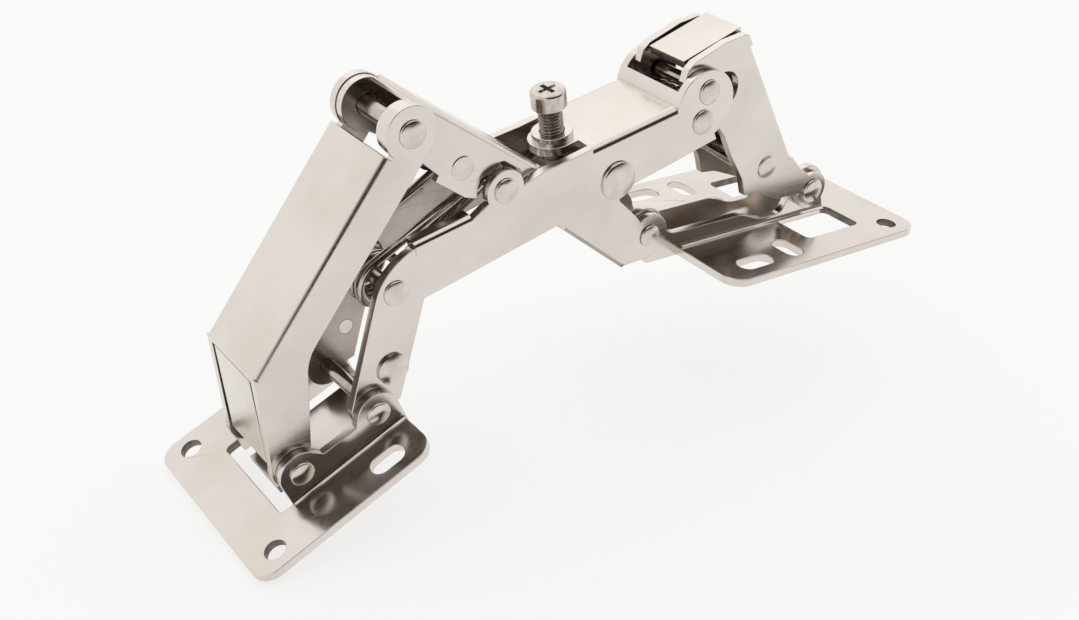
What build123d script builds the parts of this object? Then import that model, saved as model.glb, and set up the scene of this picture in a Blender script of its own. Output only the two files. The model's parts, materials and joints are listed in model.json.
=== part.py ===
"""Concealed cabinet hinge of folded sheet metal, drawn open as it lies on a table.

X runs along the hinge from the door side (-) to the cabinet side (+), Y across it and Z up. The origin is the
middle of the cabinet plate's mounting face. The mechanism is the same on both sides of the plane Y = 0.
"""
import os
from math import asin, atan2, ceil, cos, degrees, pi, radians, sin, sqrt

from build123d import *

os.makedirs("parts", exist_ok=True)

# Sheet and the layers of the folded channels, measured outwards from the middle plane
SHEET = 1.8
CABINET_EAR_IN = 4.0
INNER_IN = 5.9
INNER_OUT = INNER_IN + SHEET
OUTER_IN = 7.8
OUTER_OUT = OUTER_IN + SHEET
DOOR_EAR_IN = 9.7
DOOR_EAR_OUT = DOOR_EAR_IN + SHEET
BEND_OUT = 1.6

# Pivot and pin centres in the side view, as (X, Z)
DOOR_OUTER = (-121.6, -19.5)
DOOR_BRIDGE = (-105.8, -11.8)
STOP = (-101.9, -4.2)
DOOR_COIL = (-101.7, 11.6)
TOP = (-99.4, 41.6)
INNER_TIE = (-87.4, 32.3)
ANCHOR = (-78.8, 26.9)
MAIN = (-51.8, 23.6)
CABINET_INNER = (-39.6, 7.9)
LINK_COIL = (-30.9, 32.1)
BRIDGE_LINK = (-30.2, 38.3)
LINK_TIE = (-7.4, 17.0)
CABINET_LINK = (8.9, 8.1)

# Pins and their heads
PIN_R = 1.5
TOP_PIN_R = 1.9
MAIN_PIN_R = 2.2
HEAD_R = 2.8
MAIN_HEAD_R = 4.0
HEAD_H = 0.8
TOP_HEAD_R = 3.0
MAIN_HEAD_H = 1.2
TIE_HEAD_H = 0.6
FLUSH_H = 0.3
STOP_R = 2.95
STOP_H = 2.5
PLAY = 0.06
FACE_GAP = 0.1

# Cabinet plate
PLATE_L = 58.0
PLATE_W = 48.0
PLATE_CORNER = 4.5
SCREW_HOLE = 4.3
HOLE_X = 23.0
HOLE_Y = 19.2
SLOT_W = 4.5
LONG_SLOT = (-18.4, 18.7, 9.3)
CROSS_SLOT = (-7.2, 17.2, 7.8)
BLANK_X = (0.5, 17.0)
BLANK_Y = (5.8, 16.3)
CABINET_LOBE_R = 5.3

# Door plate, in its own tilted plane: u along it from the foot of the outer arm's pivot, h above its top face
DOOR_TILT = degrees(atan2(DOOR_BRIDGE[1] - DOOR_OUTER[1], DOOR_BRIDGE[0] - DOOR_OUTER[0]))
PIVOT_H = 4.6
PIVOT_U = sqrt((DOOR_BRIDGE[0] - DOOR_OUTER[0]) ** 2 + (DOOR_BRIDGE[1] - DOOR_OUTER[1]) ** 2)
DOOR_U = (-17.7, 21.6)
DOOR_HALF = 22.1
DOOR_CORNER = 4.0
DOOR_HOLE = 4.2
DOOR_HOLE_U = -12.0
DOOR_HOLE_V = 17.8
DOOR_SLOT = (13.5, 17.6, 7.2)
DOOR_WINDOW_V = 11.5
TONGUE_V = 5.7
DOOR_LOBE_R = 4.4
DOOR_WALL_H = 5.1

# Adjusting screw, square to the bridge's web
SCREW_BACK = 2.4
THREAD_R = 2.4
SCREW_HEAD_R = 3.5
SCREW_HEAD_H = 3.8
SCREW_SHOW = 6.4
SCREW_BELOW = 3.2
COLLAR_R = 4.1
COLLAR_H = 1.4

LIP_IN = 6.8
LINK_OPENING_R = 2.1

# Springs
WIRE_R = 0.9
COIL_R = 4.6
LINK_COIL_R = 3.4
LEG_OUT_Y = 4.85
LEG_IN_Y = 1.05
LEG_PAST = 2.6
GAP_SAMPLES = 240


def side_plane(y):
    """The side-view plane at a given Y, whose solids grow towards the near side."""
    return Plane.XZ.offset(-y)


def fold_edges(part, start, end, half_width):
    """The edges of a part that lie on a side-view line, at a given distance from the middle plane."""
    along = Vector(end[0] - start[0], 0, end[1] - start[1]).normalized()
    chosen = ShapeList()
    for edge in part.edges():
        middle = edge.center()
        offset = Vector(middle.X - start[0], 0, middle.Z - start[1])
        aside = (offset - along * offset.dot(along)).length
        straight = abs((edge.end_point() - edge.start_point()).normalized().dot(along)) > 0.999
        if straight and aside < 0.06 and abs(abs(middle.Y) - half_width) < 0.01:
            chosen.append(edge)
    return chosen


def web_point(web, along, depth):
    """The side-view point at a distance along a web from its first end, a depth inside its outer face."""
    start, end = web
    length = web_length(web)
    ax = (end[0] - start[0]) / length
    az = (end[1] - start[1]) / length
    return (start[0] + along * ax + depth * az, start[1] + along * az - depth * ax)


def web_length(web):
    """The length of a web between its two side-view points."""
    return sqrt((web[1][0] - web[0][0]) ** 2 + (web[1][1] - web[0][1]) ** 2)


def folded_web(start, end, half_width, radius):
    """The strip of a channel's web between two side-view points, rounded where it folds into the flanges."""
    along = Vector(end[0] - start[0], 0, end[1] - start[1]).normalized()
    strip_plane = Plane(origin=(start[0], half_width, start[1]), x_dir=along, z_dir=(0, -1, 0))
    length = sqrt((end[0] - start[0]) ** 2 + (end[1] - start[1]) ** 2)
    with BuildPart() as strip:
        with BuildSketch(strip_plane):
            Rectangle(length, 2.4, align=(Align.MIN, Align.MAX))
        extrude(amount=2 * half_width)
        fillet(fold_edges(strip.part, start, end, half_width), radius)
    return strip.part


def rivet_section(grip, shank_r, head_r, head_h):
    """Half section of a pin with a low, softly domed head on each end, in (radius, Y)."""
    flat_r = head_r * 0.55
    edge_y = grip + head_h * 0.4
    top_y = grip + head_h
    with BuildSketch() as section:
        with BuildLine():
            TangentArc((flat_r, -top_y), (head_r, -edge_y), tangent=(1, 0))
            Polyline((head_r, -edge_y), (head_r, -grip), (shank_r, -grip), (shank_r, grip), (head_r, grip),
                     (head_r, edge_y))
            TangentArc((flat_r, top_y), (head_r, edge_y), tangent=(1, 0))
            Polyline((flat_r, top_y), (0, top_y), (0, -top_y), (flat_r, -top_y))
        make_face()
    return section.sketch


def axis_plane(centre):
    """The plane through a pin's centre line, with its radius along X and its length along Y."""
    return Plane(origin=(centre[0], 0, centre[1]), x_dir=(1, 0, 0), z_dir=(0, 0, 1))


def axis_at(centre):
    """The centre line of a pin."""
    return Axis((centre[0], 0, centre[1]), (0, 1, 0))


def arc_step(p0, t0, p1, t1):
    """Two tangent arcs from p0 along t0 to p1 along t1."""
    v = p1 - p0
    t = t0 + t1
    k = 2 * (1 - t0.dot(t1))
    d = (-v.dot(t) + sqrt(v.dot(t) ** 2 + k * v.dot(v))) / k
    mid = (p0 + t0 * d + p1 - t1 * d) * 0.5
    first = TangentArc(p0, mid, tangent=t0)
    second = TangentArc(mid, p1, tangent=(p1 - t1 * d - mid).normalized())
    return [first, second]


def coil_spring(coil, target, coil_r, hold_r, side):
    """A wire that comes from above the target pin, winds round the coil pin and goes back below it."""
    dx = target[0] - coil[0]
    dz = target[1] - coil[1]
    span = sqrt(dx * dx + dz * dz)
    line = degrees(atan2(dz, dx))
    lean = degrees(asin((coil_r - hold_r) / span))
    start = line + 90 - lean
    turn = 540 + 2 * lean
    steps = 6

    def on_coil(angle, y):
        a = radians(angle)
        return Vector(coil[0] + coil_r * cos(a), side * y, coil[1] + coil_r * sin(a))

    def heading(angle, climb):
        a = radians(angle)
        return Vector(-sin(a), side * climb, cos(a)).normalized()

    slope = (LEG_IN_Y - LEG_OUT_Y) / (radians(turn) * coil_r * (steps - 1) / steps)
    points = []
    for i in range(steps + 1):
        angle = start + turn * i / steps
        run = min(max((i - 0.5) / (steps - 1), 0.0), 1.0)
        y = LEG_OUT_Y + (LEG_IN_Y - LEG_OUT_Y) * run
        points.append((on_coil(angle, y), heading(angle, 0.0 if i in (0, steps) else slope)))
    edges = []
    entry = points[0][0] - heading(start, 0.0) * (span + LEG_PAST)
    edges.append(Edge.make_line(entry, points[0][0]))
    for (p0, t0), (p1, t1) in zip(points, points[1:]):
        edges.extend(Edge(arc.wrapped) for arc in arc_step(p0, t0, p1, t1))
    leave = points[-1][0] + heading(start + turn, 0.0) * (span + LEG_PAST)
    edges.append(Edge.make_line(points[-1][0], leave))
    return Wire(edges), entry, heading(start, 0.0)


def least_gap(path):
    """The least clear gap between stretches of a wire that lie over three of its diameters apart along it."""
    points = [path @ (i / GAP_SAMPLES) for i in range(GAP_SAMPLES + 1)]
    skip = ceil(6 * WIRE_R / path.length * GAP_SAMPLES)
    nearest = min((a - b).length for i, a in enumerate(points) for b in points[i + skip:])
    return nearest - 2 * WIRE_R


# Cabinet plate: a flat plate with two low ears folded up from it
with BuildPart() as cabinet_plate:
    with BuildSketch(Plane.XY):
        RectangleRounded(PLATE_L, PLATE_W, PLATE_CORNER)
        with Locations((HOLE_X, HOLE_Y), (HOLE_X, -HOLE_Y)):
            Circle(SCREW_HOLE / 2, mode=Mode.SUBTRACT)
        with Locations((LONG_SLOT[0], LONG_SLOT[1]), (LONG_SLOT[0], -LONG_SLOT[1])):
            SlotOverall(LONG_SLOT[2], SLOT_W, mode=Mode.SUBTRACT)
        with Locations((CROSS_SLOT[0], CROSS_SLOT[1]), (CROSS_SLOT[0], -CROSS_SLOT[1])):
            SlotOverall(CROSS_SLOT[2], SLOT_W, rotation=90, mode=Mode.SUBTRACT)
        blank_x = (BLANK_X[0] + BLANK_X[1]) / 2
        blank_y = (BLANK_Y[0] + BLANK_Y[1]) / 2
        with Locations((blank_x, blank_y), (blank_x, -blank_y)):
            RectangleRounded(BLANK_X[1] - BLANK_X[0], BLANK_Y[1] - BLANK_Y[0], 1.4, mode=Mode.SUBTRACT)
    extrude(amount=SHEET)
    with BuildSketch(side_plane(-CABINET_EAR_IN)) as ear:
        with BuildLine():
            Line((-20, 0), (-37.5, 0))
            Line((-37.5, 0), (-44.5, 6.0))
            Line((-44.5, 6.0), CABINET_INNER)
            Line(CABINET_INNER, (-36.2, 12.0))
            Spline((-36.2, 12.0), (-33.6, 7.6), (-29.5, 5.6), tangents=((0.55, -0.83), (1, 0)))
            Line((-29.5, 5.6), (-12.5, 5.6))
            Spline((-12.5, 5.6), (-7.5, 4.3), (-2.5, 3.1), tangents=((1, 0), (1, 0)))
            Line((-2.5, 3.1), (0.2, 3.1))
            Spline((0.2, 3.1), (2.9, 5.0), (4.6, 11.2), tangents=((1, 0), (0.45, 0.89)))
            Line((4.6, 11.2), CABINET_LINK)
            Line(CABINET_LINK, (14.1, 7.2))
            Line((14.1, 7.2), (16.0, 1.8))
            Line((16.0, 1.8), (16.0, 0))
            Line((16.0, 0), (-20, 0))
        make_face()
        with Locations(CABINET_INNER, CABINET_LINK):
            Circle(CABINET_LOBE_R)
        with Locations(CABINET_INNER, CABINET_LINK):
            Circle(PIN_R, mode=Mode.SUBTRACT)
    extrude(amount=SHEET)
    mirror(about=Plane.XZ)
cabinet_plate.part.label = "cabinet_plate"
export_step(cabinet_plate.part, "parts/cabinet_plate.step")

# Door plate: a windowed plate, tilted with the open door, with an ear wall on each side of the window
foot_x = DOOR_OUTER[0] + PIVOT_H * sin(radians(DOOR_TILT))
foot_z = DOOR_OUTER[1] - PIVOT_H * cos(radians(DOOR_TILT))
door_frame = Plane(origin=(foot_x, 0, foot_z), x_dir=(cos(radians(DOOR_TILT)), 0, sin(radians(DOOR_TILT))),
                   z_dir=(-sin(radians(DOOR_TILT)), 0, cos(radians(DOOR_TILT))))
door_side = Plane(origin=(foot_x, 0, foot_z), x_dir=door_frame.x_dir, z_dir=(0, -1, 0))
with BuildPart() as door_plate:
    with BuildSketch(door_frame):
        with Locations(((DOOR_U[0] + DOOR_U[1]) / 2, 0)):
            RectangleRounded(DOOR_U[1] - DOOR_U[0], 2 * DOOR_HALF, DOOR_CORNER)
        with Locations((DOOR_HOLE_U, DOOR_HOLE_V), (DOOR_HOLE_U, -DOOR_HOLE_V)):
            Circle(DOOR_HOLE / 2, mode=Mode.SUBTRACT)
        with Locations((DOOR_SLOT[0], DOOR_SLOT[1]), (DOOR_SLOT[0], -DOOR_SLOT[1])):
            SlotOverall(DOOR_SLOT[2], DOOR_HOLE, mode=Mode.SUBTRACT)
        with Locations((-5.9, 0)):
            RectangleRounded(2.6, 2 * DOOR_WINDOW_V, 0.8, mode=Mode.SUBTRACT)
        cut_v = (DOOR_WINDOW_V + TONGUE_V) / 2
        with Locations((6.3, cut_v), (6.3, -cut_v)):
            Rectangle(25.0, DOOR_WINDOW_V - TONGUE_V, mode=Mode.SUBTRACT)
    extrude(amount=-SHEET)
    with BuildSketch(door_side.offset(DOOR_EAR_IN)):
        with BuildLine():
            Polyline((-4.4, -SHEET), (-4.4, PIVOT_H), (3.4, PIVOT_H + 2.8), (5.2, DOOR_WALL_H),
                     (12.6, DOOR_WALL_H), (14.2, PIVOT_H + 2.8), (PIVOT_U + DOOR_LOBE_R, PIVOT_H),
                     (PIVOT_U + DOOR_LOBE_R, -SHEET), close=True)
        make_face()
        with Locations((0, PIVOT_H), (PIVOT_U, PIVOT_H)):
            Circle(DOOR_LOBE_R)
            Circle(PIN_R, mode=Mode.SUBTRACT)
    extrude(amount=SHEET)
    mirror(about=Plane.XZ)
door_plate.part.label = "door_plate"
export_step(door_plate.part, "parts/door_plate.step")

# Outer arm: a bent channel whose web faces the room, with a loose tab below the fold
OUTER_WEB = ((-129.6, 1.7), (-104.9, 38.5))
outer_length = web_length(OUTER_WEB)
outer_web = folded_web(OUTER_WEB[0], OUTER_WEB[1], OUTER_OUT, BEND_OUT)
with BuildPart() as outer_arm:
    with BuildSketch(side_plane(OUTER_OUT)):
        with BuildLine():
            Polyline(web_point(OUTER_WEB, 0, 2), web_point(OUTER_WEB, outer_length, 2), TOP, (-95.2, 38.6),
                     (-117.6, 5.4))
            ThreePointArc((-117.6, 5.4), (-118.9, 2.6), (-119.2, -0.6))
            Polyline((-119.2, -0.6), (-118.8, -12.0), (-118.6, -18.6), (-122.3, -21.0), (-126.6, -18.6),
                     OUTER_WEB[0], web_point(OUTER_WEB, 0, 2))
        make_face()
        with Locations(TOP):
            Circle(5.2)
        with Locations((-122.45, -18.9)):
            Circle(4.2)
    extrude(amount=2 * OUTER_OUT)
    add(outer_web)
    with BuildSketch(side_plane(OUTER_IN)):
        with BuildLine():
            Polyline(web_point(OUTER_WEB, -0.5, SHEET), web_point(OUTER_WEB, outer_length, SHEET),
                     OUTER_WEB[1], (-107.0, 44.0), (-104.0, 50.0), (-88.0, 50.0), (-88.0, -30.0),
                     (-131.0, -30.0), (-131.0, 0.35), close=True)
        make_face()
    extrude(amount=2 * OUTER_IN, mode=Mode.SUBTRACT)
    with BuildSketch(side_plane(OUTER_IN - 0.9)):
        with BuildLine():
            Polyline((-129.6, 1.7), (-126.4, -18.4), (-124.6, -18.4), (-127.6, 0.6), (-127.0, 3.0),
                     close=True)
        make_face()
    extrude(amount=2 * (OUTER_IN - 0.9))
    with BuildSketch(side_plane(OUTER_OUT)):
        with Locations(TOP):
            Circle(TOP_PIN_R)
        with Locations(DOOR_OUTER):
            Circle(PIN_R)
    extrude(amount=2 * OUTER_OUT, mode=Mode.SUBTRACT)
outer_arm.part.label = "outer_arm"
export_step(outer_arm.part, "parts/outer_arm.step")

# Bridge: the long channel, cranked down at the door side, with a slotted web that carries the screw collar
BRIDGE_WEB = ((-59.0, 31.53), (-36.66, 36.6))
LIP = ((-98.0, 19.6), (-86.0, 22.4))
web_slope = atan2(BRIDGE_WEB[1][1] - BRIDGE_WEB[0][1], BRIDGE_WEB[1][0] - BRIDGE_WEB[0][0])
screw_foot = web_point(BRIDGE_WEB, -SCREW_BACK, 0)
screw_frame = Plane(origin=(screw_foot[0], 0, screw_foot[1]), x_dir=(cos(web_slope), 0, sin(web_slope)),
                    z_dir=(-sin(web_slope), 0, cos(web_slope)))
bridge_length = web_length(BRIDGE_WEB)
bridge_web = folded_web(BRIDGE_WEB[0], BRIDGE_WEB[1], OUTER_OUT, BEND_OUT)
lip_length = web_length(LIP)
with BuildPart() as bridge:
    with BuildSketch(side_plane(OUTER_OUT)):
        with BuildLine():
            Polyline((-95.5, 8.8), (-26.2, 27.6), (-30.6, 35.5), web_point(BRIDGE_WEB, bridge_length, 2),
                     web_point(BRIDGE_WEB, 0, 2), BRIDGE_WEB[0], (-64.0, 30.3), (-70.0, 29.1), (-75.0, 27.1),
                     ANCHOR, (-83.0, 24.6), LIP[1], LIP[0])
            ThreePointArc(LIP[0], (-103.2, 16.0), (-105.8, 10.8))
            Polyline((-105.8, 10.8), (-110.4, -11.2), (-105.8, -14.0), (-99.9, -11.4), (-95.5, 8.8))
        make_face()
        with Locations((-30.6, 35.5)):
            Circle(7.4)
        with Locations(ANCHOR):
            Circle(4.1)
        with Locations(DOOR_BRIDGE):
            Circle(4.4)
    extrude(amount=2 * OUTER_OUT)
    add(bridge_web)
    with BuildSketch(side_plane(OUTER_IN)):
        with BuildLine():
            Polyline(web_point(BRIDGE_WEB, 0, SHEET), web_point(BRIDGE_WEB, bridge_length, SHEET),
                     BRIDGE_WEB[1], (-38.5, 46.0), (-18.0, 46.0), (-18.0, -20.0), (-115.0, -20.0),
                     (-115.0, 46.0), web_point(BRIDGE_WEB, 0, -15), close=True)
        make_face()
    extrude(amount=2 * OUTER_IN, mode=Mode.SUBTRACT)
    for lip_side in (-1, 1):
        with BuildSketch(side_plane(lip_side * LIP_IN)):
            with BuildLine():
                Polyline(web_point(LIP, 0, 0), web_point(LIP, lip_length, 0),
                         web_point(LIP, lip_length, SHEET), web_point(LIP, 0, SHEET), close=True)
            make_face()
        extrude(amount=-lip_side * (OUTER_IN - LIP_IN + 0.4))
    with BuildSketch(screw_frame):
        Circle(5.0)
        Rectangle(SCREW_BACK, 10.0, align=(Align.MIN, Align.CENTER))
    extrude(amount=-SHEET)
    with BuildSketch(screw_frame):
        Circle(COLLAR_R)
    extrude(amount=COLLAR_H)
    with BuildSketch(screw_frame.offset(-SHEET - 1.0)):
        Circle(THREAD_R + PLAY)
    extrude(amount=SHEET + COLLAR_H + 2.0, mode=Mode.SUBTRACT)
    with BuildSketch(side_plane(OUTER_OUT)):
        with Locations(DOOR_BRIDGE):
            Circle(PIN_R + PLAY)
        with Locations(STOP, DOOR_COIL, ANCHOR, LINK_COIL, BRIDGE_LINK):
            Circle(PIN_R)
        with Locations(MAIN):
            Circle(MAIN_PIN_R)
    extrude(amount=2 * OUTER_OUT, mode=Mode.SUBTRACT)
bridge.part.label = "bridge"
export_step(bridge.part, "parts/bridge.step")

# Inner arm: crosses inside the bridge, with a web on top at the door side and one below at the cabinet side
INNER_WEB = ((-96.3, 46.5), (-69.9, 29.4))
LOWER_WEB = ((-46.2, 2.0), (-62.6, 14.28))
inner_length = web_length(INNER_WEB)
lower_length = web_length(LOWER_WEB)
inner_web = folded_web(INNER_WEB[0], INNER_WEB[1], INNER_OUT, BEND_OUT)
lower_web = folded_web(LOWER_WEB[0], LOWER_WEB[1], INNER_OUT, 1.2)
with BuildPart() as inner_arm:
    with BuildSketch(side_plane(INNER_OUT)):
        with BuildLine():
            Polyline(web_point(INNER_WEB, 0, 2), web_point(INNER_WEB, inner_length, 2), INNER_WEB[1],
                     (-61.0, 23.6), (-55.0, 27.0), MAIN, (-47.6, 21.0), (-49.0, 17.8), (-43.6, 12.9),
                     CABINET_INNER, (-38.4, 3.4), (-40.0, 2.7), (-45.8, 2.3), LOWER_WEB[0],
                     web_point(LOWER_WEB, 0, 2), web_point(LOWER_WEB, lower_length, 2), LOWER_WEB[1],
                     (-66.0, 17.6), (-68.6, 23.6), (-72.0, 28.1), (-74.6, 27.2), (-83.2, 25.2),
                     (-84.9, 25.8), (-86.5, 26.3), (-93.0, 30.6), (-92.4, 31.8), (-95.6, 34.6),
                     (-99.4, 36.6), TOP, close=True)
        make_face()
        with Locations(TOP):
            Circle(5.0)
        with Locations(MAIN, CABINET_INNER):
            Circle(4.7)
        with Locations(ANCHOR):
            Circle(5.0, mode=Mode.SUBTRACT)
    extrude(amount=2 * INNER_OUT)
    add(inner_web)
    add(lower_web)
    with BuildSketch(side_plane(INNER_IN)):
        with BuildLine():
            Polyline(web_point(INNER_WEB, -1, SHEET), web_point(INNER_WEB, inner_length, SHEET), INNER_WEB[1],
                     (-66.0, 34.5), (-40.0, 34.0), (-30.0, 0.0), (-44.0, -1.0), LOWER_WEB[0],
                     web_point(LOWER_WEB, 0, SHEET), web_point(LOWER_WEB, lower_length, SHEET), LOWER_WEB[1],
                     (-66.0, 12.0), (-90.0, 10.0), (-104.0, 34.0), (-106.0, 50.0),
                     (-97.0, 50.0), close=True)
        make_face()
    extrude(amount=2 * INNER_IN, mode=Mode.SUBTRACT)
    with BuildSketch(side_plane(4.5)):
        with BuildLine():
            Polyline((-76.6, 35.0), (-66.0, 28.2), (-69.0, 24.0), (-79.0, 31.0),
                     close=True)
        make_face()
    extrude(amount=9.0, mode=Mode.SUBTRACT)
    with BuildSketch(side_plane(INNER_OUT)):
        with Locations(TOP):
            Circle(TOP_PIN_R + PLAY)
        with Locations(INNER_TIE):
            Circle(PIN_R)
        with Locations(MAIN):
            Circle(MAIN_PIN_R + PLAY)
        with Locations(CABINET_INNER):
            Circle(PIN_R + PLAY)
    extrude(amount=2 * INNER_OUT, mode=Mode.SUBTRACT)
inner_arm.part.label = "inner_arm"
export_step(inner_arm.part, "parts/inner_arm.step")

# Rear link: a short channel whose web faces the cabinet, with a tab bent over its top
LINK_WEB = ((-17.9, 45.9), (0.3, 17.9))
link_length = web_length(LINK_WEB)
link_web = folded_web(LINK_WEB[0], LINK_WEB[1], INNER_OUT, BEND_OUT)
with BuildPart() as link:
    with BuildSketch(side_plane(INNER_OUT)):
        with BuildLine():
            Polyline((-35.5, 40.3), (-35.0, 42.6), (-33.4, 44.2), (-25.6, 47.3), (-20.6, 48.2), (-19.3, 48.0),
                     LINK_WEB[0], web_point(LINK_WEB, 0, 2), web_point(LINK_WEB, link_length, 2), LINK_WEB[1],
                     (3.6, 14.6), (13.1, 8.1), CABINET_LINK, (-2.0, 8.3),
                     (-9.0, 11.0), (-13.0, 11.4), (-14.6, 15.6), (-19.3, 22.1), (-22.0, 26.8), (-26.3, 31.5),
                     (-26.9, 34.3), (-30.8, 34.3), (-34.2, 36.8), close=True)
        make_face()
        with Locations(CABINET_LINK):
            Circle(4.3)
    extrude(amount=2 * INNER_OUT)
    add(link_web)
    with BuildSketch(side_plane(INNER_IN)):
        with BuildLine():
            Polyline(web_point(LINK_WEB, 0, SHEET), (-20.4, 46.4), (-21.5, 52.0), (-40.0, 50.0), (-40.0, 0.0),
                     (20.0, 0.0), (20.0, 14.0), (2.5, 14.0), web_point(LINK_WEB, link_length, SHEET),
                     close=True)
        make_face()
    extrude(amount=2 * INNER_IN, mode=Mode.SUBTRACT)
    with BuildSketch(side_plane(INNER_IN - 0.7)):
        with BuildLine():
            Polyline((-34.1, 43.8), (-19.5, 49.0), (-19.0, 46.0), (-20.6, 46.7), (-33.5, 42.1),
                     close=True)
        make_face()
    extrude(amount=2 * (INNER_IN - 0.7))
    with BuildSketch(side_plane(INNER_OUT)):
        with Locations((-24.1, 37.2)):
            Circle(3.8)
        with Locations(BRIDGE_LINK):
            Circle(LINK_OPENING_R)
        with BuildLine():
            Polyline((-30.2, 40.4), (-24.5, 41.0), (-24.1, 33.4), (-30.2, 36.2), close=True)
        make_face()
        with Locations(LINK_TIE):
            Circle(PIN_R)
        with Locations(CABINET_LINK):
            Circle(PIN_R + PLAY)
    extrude(amount=2 * INNER_OUT, mode=Mode.SUBTRACT)
link.part.label = "link"
export_step(link.part, "parts/link.step")

# Pivots and cross pins: each is a round bar with a low head on both ends, gripping the sheets up to a given Y
PINS = (("top_pivot", TOP, OUTER_OUT, TOP_PIN_R, TOP_HEAD_R, HEAD_H),
        ("inner_tie", INNER_TIE, INNER_OUT, PIN_R, HEAD_R, FLUSH_H),
        ("main_pivot", MAIN, OUTER_OUT, MAIN_PIN_R, MAIN_HEAD_R, MAIN_HEAD_H),
        ("anchor_pin", ANCHOR, OUTER_OUT, PIN_R, HEAD_R, HEAD_H),
        ("door_coil_pin", DOOR_COIL, OUTER_OUT, PIN_R, HEAD_R, HEAD_H),
        ("cabinet_inner_pivot", CABINET_INNER, INNER_OUT + FACE_GAP, PIN_R, HEAD_R, HEAD_H),
        ("link_coil_pin", LINK_COIL, OUTER_OUT, PIN_R, HEAD_R, HEAD_H),
        ("bridge_link_pivot", BRIDGE_LINK, OUTER_OUT, PIN_R, HEAD_R, HEAD_H),
        ("link_tie", LINK_TIE, INNER_OUT, PIN_R, HEAD_R, TIE_HEAD_H),
        ("cabinet_link_pivot", CABINET_LINK, INNER_OUT + FACE_GAP, PIN_R, HEAD_R, HEAD_H),
        ("door_bridge_pivot", DOOR_BRIDGE, DOOR_EAR_OUT, PIN_R, HEAD_R, HEAD_H))
for pin_name, pin_centre, pin_grip, shank_r, pin_head_r, pin_head_h in PINS:
    with BuildPart() as pin:
        with BuildSketch(axis_plane(pin_centre)):
            add(rivet_section(pin_grip, shank_r, pin_head_r, pin_head_h))
        revolve(axis=axis_at(pin_centre))
    pin.part.label = pin_name
    export_step(pin.part, "parts/" + pin_name + ".step")

# The outer arm's own cross pin, in line with the door plate's rivets when the hinge is open or closed
with BuildPart() as outer_arm_pin:
    with BuildSketch(side_plane(OUTER_OUT)):
        with Locations(DOOR_OUTER):
            Circle(PIN_R)
    extrude(amount=2 * OUTER_OUT)
outer_arm_pin.part.label = "outer_arm_pin"
export_step(outer_arm_pin.part, "parts/outer_arm_pin.step")

with BuildPart() as door_rivets:
    with BuildSketch(axis_plane(DOOR_OUTER)):
        with BuildLine():
            Polyline((0, -DOOR_EAR_IN), (PIN_R, -DOOR_EAR_IN), (PIN_R, -DOOR_EAR_OUT),
                     (HEAD_R, -DOOR_EAR_OUT), (HEAD_R, -DOOR_EAR_OUT - 0.3))
            ThreePointArc((HEAD_R, -DOOR_EAR_OUT - 0.3), (HEAD_R - 0.3, -DOOR_EAR_OUT - 0.65),
                          (HEAD_R - 1.3, -DOOR_EAR_OUT - HEAD_H))
            Polyline((HEAD_R - 1.3, -DOOR_EAR_OUT - HEAD_H), (0, -DOOR_EAR_OUT - HEAD_H), (0, -DOOR_EAR_IN))
        make_face()
    revolve(axis=axis_at(DOOR_OUTER))
    mirror(about=Plane.XZ)
door_rivets.part.label = "door_rivets"
export_step(door_rivets.part, "parts/door_rivets.step")

# Stop buttons: thick round studs on the bridge's lower arm, which the closed door plate's ears meet
with BuildPart() as stop_buttons:
    with BuildSketch(axis_plane(STOP)):
        with BuildLine():
            Polyline((0, -OUTER_IN), (PIN_R, -OUTER_IN), (PIN_R, -OUTER_OUT), (STOP_R, -OUTER_OUT),
                     (STOP_R, -OUTER_OUT - STOP_H + 0.5))
            ThreePointArc((STOP_R, -OUTER_OUT - STOP_H + 0.5), (STOP_R - 0.15, -OUTER_OUT - STOP_H + 0.15),
                          (STOP_R - 0.5, -OUTER_OUT - STOP_H))
            Polyline((STOP_R - 0.5, -OUTER_OUT - STOP_H), (0, -OUTER_OUT - STOP_H), (0, -OUTER_IN))
        make_face()
    revolve(axis=axis_at(STOP))
    mirror(about=Plane.XZ)
stop_buttons.part.label = "stop_buttons"
export_step(stop_buttons.part, "parts/stop_buttons.step")

# Adjusting screw: a straight shank with a round head, screwed through the bridge's collar
with BuildPart() as adjusting_screw:
    with BuildSketch(screw_frame.offset(-SHEET - SCREW_BELOW)):
        Circle(THREAD_R)
    extrude(amount=SHEET + SCREW_BELOW + SCREW_SHOW)
    with BuildSketch(screw_frame.offset(SCREW_SHOW)):
        Circle(SCREW_HEAD_R)
    extrude(amount=SCREW_HEAD_H)
    fillet(adjusting_screw.edges().filter_by(GeomType.CIRCLE).sort_by(Axis.Z)[-1], 0.7)
adjusting_screw.part.label = "adjusting_screw"
export_step(adjusting_screw.part, "parts/adjusting_screw.step")

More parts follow.
